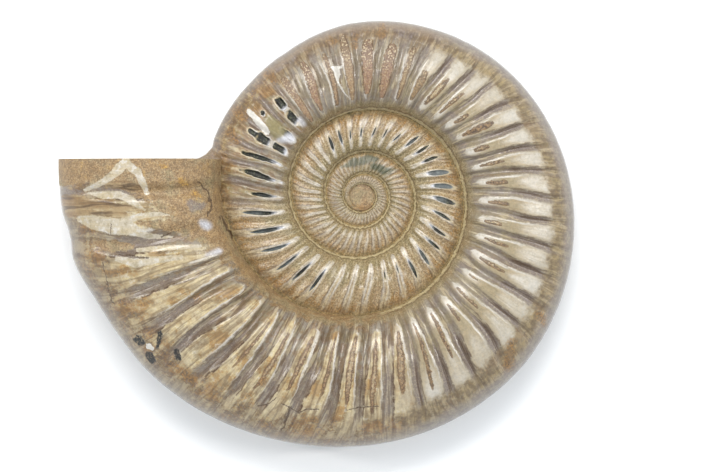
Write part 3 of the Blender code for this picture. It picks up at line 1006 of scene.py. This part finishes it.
def coat_windows(stone):
    """Windows cut through the crests: long granular bars at the top, brown lenses elsewhere."""
    low = stone.attribute("window_low") + (stone.chance(1.0) - 0.5) * 0.06
    high = stone.attribute("window_high") + (stone.chance(2.0) - 0.5) * 0.18
    widest = stone.attribute("window_half")
    half = widest * (stone.chance(3.0) * 0.8 + 0.45)
    along = (stone.across - low) / (high - low)
    bulge = (along * (1.0 - along) * 4.0).most(0.0).math("POWER", 0.7 - stone.grey * 0.4)
    offset = abs(stone.phase - (stone.chance(4.0) - 0.5) * 0.1)
    depth = (half * bulge - offset) * stone.span + stone.fray * 1.3 * bulge
    present = widest.rise(0.005, 0.05) * bulge.rise(0.05, 0.3)

    bar = stone.layers(
        ROSE,
        (stone.chance(6.0).rise(0.2, 0.8), SAND),
        (stone.grain.rise(0.46, 0.58) * 0.7, TAWNY),
        (stone.fine.rise(0.54, 0.64) * 0.5, CREAM),
        (stone.fine.fall(0.36, 0.44) * 0.5, UMBER),
    )
    lens = stone.layers(UMBER, (stone.grain.rise(0.42, 0.58), TAWNY), (stone.honeyed * 0.3, ROSE))
    outline = stone.blend(stone.mottle.rise(0.35, 0.55) * 0.8, TAWNY, UMBER)
    stone.coat(depth.rise(-0.4, -0.1) * present * 0.9, outline)
    stone.coat(depth.rise(0.05, 0.25) * present, stone.blend(stone.grey, lens, bar))
    pale = depth.rise(0.28, 0.5) * present * stone.chance(5.0).rise(0.1, 0.3)
    ringed = stone.pearly.most(stone.honeyed) * along.fall(0.6, 0.95) * (0.85 - stone.honeyed * 0.25)
    stone.coat(pale * ringed, stone.blend(stone.fine.rise(0.4, 0.6), SAND, CREAM))
    window = depth.rise(-0.12, 0.12) * present
    outer = (along + stone.fray * 1.4).rise(0.4, 0.7) * window * stone.grey
    stone.coat(outer * stone.specks.rise(0.34, 0.44) * 0.5, UMBER)
    stone.coat(outer * stone.specks.fall(0.26, 0.4) * 0.8, CREAM)
    return window


def coat_hollows(stone):
    """Hollow crests: black granular crystal and painted shade at the left, grey glass inside the whorls
    before, painted glare at their inner ends.
    """
    hollow = stone.attribute("hollow") + stone.fray * 0.25 + stone.facets * (0.55 - stone.early * 0.45)
    outward = stone.attribute("outward") + (stone.mottle - 0.5) * 0.5
    stone.coat(hollow.rise(-0.4, -0.1) * 0.7, stone.blend(outward.rise(0.3, 0.8), CHALK, CREAM))
    cavity = hollow.rise(-0.03, 0.12)
    lining = stone.layers(
        SHADOW,
        (stone.grain.rise(0.5, 0.62), MOSS),
        (stone.specks.fall(0.1, 0.22) * 0.6, KHAKI),
        (stone.early * stone.patches.rise(0.4, 0.56) * 0.85, SMOKE),
    )
    # Painted glare: the inner end of each hollow is painted bluish white, as the lamps' glare on its wall.
    stone.coat(cavity, stone.blend(outward.rise(0.05, 0.3), PAINTED_GLARE, lining))
    return cavity


def coat_seam(stone):
    """A khaki band where a whorl meets the one before, with thin broken lines of yellow shell in it."""
    reach = stone.attribute("reach")
    above = stone.across * reach + stone.fray
    below = (SEAM_ON_EARLY - stone.across) * reach * stone.early + (1.0 - stone.early) * 9.0 + stone.fray
    beside = stone.layers(
        KHAKI,
        (stone.grain.rise(0.46, 0.6) * 0.7, SAND),
        (stone.mottle.rise(0.5, 0.6) * 0.4, OLIVE),
        (stone.patches.rise(0.5, 0.6) * 0.5, TAWNY),
        (stone.fine.rise(0.55, 0.63) * 0.5, CREAM),
        (stone.fine.fall(0.38, 0.45) * 0.5, UMBER),
    )
    stone.coat(above.fall(1.2, 3.2) * (0.75 - stone.early * 0.35), beside)
    stone.coat(below.fall(0.4, 1.6) * stone.early * 0.6, beside)
    broken = stone.mottle.rise(0.4, 0.52) * 0.3 + 0.62
    seam_line = above.rise(-0.05, 0.1) * above.fall(0.24, 0.42)
    stone.coat(seam_line * broken, stone.blend(stone.grain.rise(0.45, 0.65), PALE_YELLOW, CREAM))
    stone.coat(above.rise(0.3, 0.45) * above.fall(0.6, 0.8) * broken * 0.5, UMBER)
    stone.coat(below.rise(0.0, 0.15) * below.fall(0.25, 0.45) * stone.patches.rise(0.42, 0.5) * 0.8, HONEY)


def coat_rock(stone):
    """Bare granular rock, which the shell has left by the cut, along the seam and in the middle."""
    rock = (stone.attribute("rock") + (stone.mottle - 0.5) * 0.28 + stone.fray * 0.1).rise(-0.03, 0.03)
    patch = stone.attribute("rock_mark") + (stone.mottle - 0.5) * 3.0 + stone.fray
    rock = rock.most(patch.rise(-0.2, 0.3))
    granular = stone.layers(
        SAND,
        (stone.patches.rise(0.42, 0.58) * 0.42, OCHRE),
        (stone.mottle.rise(0.44, 0.6) * 0.7, TAWNY),
        (stone.mottle.fall(0.34, 0.42) * 0.35, GOLD),
        (stone.specks.fall(0.08, 0.24) * 0.6, UMBER),
        (stone.fine.rise(0.55, 0.66) * 0.36, CREAM),
        ((stone.patches + stone.fray * 0.4).fall(0.36, 0.46) * 0.6, KHAKI),
        (stone.fine.fall(0.38, 0.48) * 0.45, UMBER),
    )
    stone.coat(rock, granular)
    on_cut = stone.flank.rise(1.4, 1.6)
    skin = (stone.across + stone.fray * 0.05).rise(0.955, 0.97) * on_cut
    stone.coat(skin * 0.85, stone.blend(stone.mottle.rise(0.42, 0.58), CREAM, GREY_SHELL))
    filled = (stone.across + (stone.patches - 0.5) * 0.9).fall(0.4, 0.62) * on_cut
    stone.coat(filled * 0.5, stone.blend(stone.mottle.rise(0.46, 0.56), UMBER, MAUVE_SHELL))
    return rock


def coat_marks(stone):
    """The marks on the upper flank, each kind with its own stone, and the glare marks, which are painted
    highlights.
    """
    upper = stone.attribute("upper")
    ragged = (stone.grain - 0.5) * 0.9 + (stone.mottle - 0.5) * 1.2

    def wide(kind, rough, low, high):
        return (stone.attribute(kind + "_mark") + ragged * rough).rise(low, high)

    def narrow(strokes, rough, low, high):
        return (stone.inside(stone.plan, strokes) + ragged * rough).rise(low, high) * upper

    layered = stone.layers(TAWNY, (stone.streaks.rise(0.4, 0.6), SAND), (stone.veins * 0.8, UMBER))
    stone.coat(wide("tawny", 1.0, -0.2, 0.3) * 0.9, layered)
    mauve = stone.blend(stone.fine.rise(0.46, 0.58), MAUVE_SHELL, GREY_SHELL)
    mauve = stone.blend(stone.grain.rise(0.52, 0.62) * 0.6, mauve, UMBER)
    stone.coat(wide("mauve", 1.8, -0.5, 0.5) * 0.75, mauve)
    shell = narrow(SHELL_BANDS, 1.0, -0.1, 0.25)
    pearl = stone.layers(
        PEARL,
        (stone.patches.rise(0.48, 0.62) * 0.7, CREAM),
        (stone.streaks.rise(0.48, 0.64) * 0.35, HONEY),
        (stone.mottle.rise(0.52, 0.66) * 0.5, KHAKI),
        (stone.mottle.fall(0.38, 0.48) * 0.8, CHALK),
    )
    stone.coat(shell * 0.92, pearl)
    stone.coat(wide("yellow", 2.0, -0.5, 0.6) * 0.9, stone.blend(stone.grain.rise(0.4, 0.6), OCHRE, GOLD))
    stone.coat(wide("green", 1.8, -0.6, 0.5) * stone.streaks.rise(0.3, 0.44) * 0.9, MOSS)
    # Painted highlights: the glare marks.
    stone.coat(wide("glare", 0.3, -0.9, 1.2) * 0.95, PAINTED_GLARE)
    rust = stone.blend(stone.grain.rise(0.42, 0.56), UMBER, OCHRE)
    rust = stone.blend(stone.mottle.rise(0.48, 0.6) * 0.7, rust, TAWNY)
    stone.coat(wide("rust", 3.2, -0.9, 1.0) * (stone.streaks.rise(0.3, 0.52) * 0.5 + 0.5) * 0.75, rust)
    stone.coat(wide("olive", 1.6, -0.8, 0.7) * 0.85, stone.blend(stone.streaks, OLIVE, KHAKI))
    stone.coat(narrow(CHALK_MARKS, 0.9, -0.1, 0.1), CHALK)
    pits = narrow(PIT_MARKS, 1.6, -0.1, 0.3)
    stone.coat(pits * stone.grain.rise(0.3, 0.5), SHADOW)
    bend = stone.place((stone.mottle - 0.5) * 3.0, (stone.grain - 0.5) * 0.9)
    cracks = stone.inside(stone.vector("ADD", stone.plan, bend), CRACKS) + stone.fray * 0.25
    cracks = cracks.rise(-0.12, 0.05) * upper
    stone.coat(cracks * 0.85, UMBER)
    return shell, pits, cracks


def fossil_stone():
    """Polished calcite and rock, laid in coats by where on the coil it is."""
    material = bpy.data.materials.new("polished_fossil")
    material.use_nodes = True
    shader = material.node_tree.nodes["Principled BSDF"]
    stone = Stone(material.node_tree)
    coat_ribs(stone)
    coat_outer(stone)
    window = coat_windows(stone)
    cavity = coat_hollows(stone)
    coat_seam(stone)
    rock = coat_rock(stone)
    shell, pits, cracks = coat_marks(stone)
    bare = rock * (1.0 - shell)
    coarse = bare.most(window * 0.7).most(stone.early)
    cloudy = (stone.grain - 0.5) * (coarse * 0.8 + 0.4) + stone.fray * 0.5 + 0.77
    stone.plug(stone.vector("SCALE", stone.colour, Scale=cloudy), shader.inputs["Base Color"])

    dull = bare.most(cavity).most(pits).most(window * 0.6)
    stone.plug(dull * 0.4 + 0.12 + (stone.mottle - 0.5) * 0.14, shader.inputs["Roughness"])
    shader.inputs["IOR"].default_value = 1.56
    height = stone.grain * (dull * 0.9 + 0.08) + stone.streaks * 0.5 - window * 0.4 - cracks - pits
    bumps = {"Height": height, "Strength": 0.6, "Distance": 0.0004}
    stone.plug(stone.add("Bump", bumps), shader.inputs["Normal"])
    return material


# Lights: name, place, width and depth in metres, and power in watts
LIGHTS = (
    ("overhead", (-0.1, 0.8, 1.2), (0.9, 0.6), 14.5),
    ("left", (-1.0, 0.25, 0.9), (0.12, 1.1), 4.0),
    ("right", (1.0, 0.1, 0.95), (0.1, 1.1), 4.8),
)
LAMP_COLOUR = (1.0, 0.97, 0.93)
SKY_COLOUR = (0.89, 0.945, 1.0, 1.0)
SKY_STRENGTH = 0.86
FLOOR_SIZE = 6.0
FLOOR_GAP = 0.0001
FLOOR_COLOUR = (0.96, 0.97, 0.98, 1.0)
FLOOR_ROUGHNESS = 0.9
CAMERA_HEIGHT = 1.5
RIM_HEIGHT = 0.0215
FLANK_HEIGHT = 0.04
CAMERA_OVER = (0.0122, -0.0007)
SENSOR_WIDTH = 36.0


def build_stage():
    """A plain pale floor, soft light from both sides and above, and the camera looking straight down."""
    bpy.ops.mesh.primitive_plane_add(size=FLOOR_SIZE, location=(0.0, 0.0, -FLOOR_GAP))
    floor = bpy.context.active_object
    floor.name = "floor"
    paint = bpy.data.materials.new("pale_floor")
    paint.use_nodes = True
    paint.node_tree.nodes["Principled BSDF"].inputs["Base Color"].default_value = FLOOR_COLOUR
    paint.node_tree.nodes["Principled BSDF"].inputs["Roughness"].default_value = FLOOR_ROUGHNESS
    floor.data.materials.append(paint)

    world = bpy.data.worlds.new("studio")
    bpy.context.scene.world = world
    world.use_nodes = True
    sky = world.node_tree.nodes["Background"].inputs
    sky["Color"].default_value = SKY_COLOUR
    sky["Strength"].default_value = SKY_STRENGTH
    for name, location, size, power in LIGHTS:
        lamp = bpy.data.lights.new(name, "AREA")
        lamp.shape = "RECTANGLE"
        lamp.size, lamp.size_y = size
        lamp.energy = power
        lamp.color = LAMP_COLOUR
        light = bpy.data.objects.new(name, lamp)
        light.location = location
        light.rotation_euler = (Vector(location) * -1).to_track_quat("-Z", "Y").to_euler()
        bpy.context.scene.collection.objects.link(light)

    view = bpy.data.cameras.new("camera")
    view.sensor_width = SENSOR_WIDTH
    view.lens = SENSOR_WIDTH * (CAMERA_HEIGHT - RIM_HEIGHT) / (PHOTO_SIZE[0] * PIXEL)
    view.clip_end = 20.0
    camera = bpy.data.objects.new("camera", view)
    camera.location = (*CAMERA_OVER, CAMERA_HEIGHT)
    bpy.context.scene.collection.objects.link(camera)
    bpy.context.scene.camera = camera
    bpy.context.scene.view_settings.view_transform = "Standard"


shell = build_shell()
shell.data.materials.append(fossil_stone())
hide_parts("ammonite")
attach(shell, "root")
build_stage()
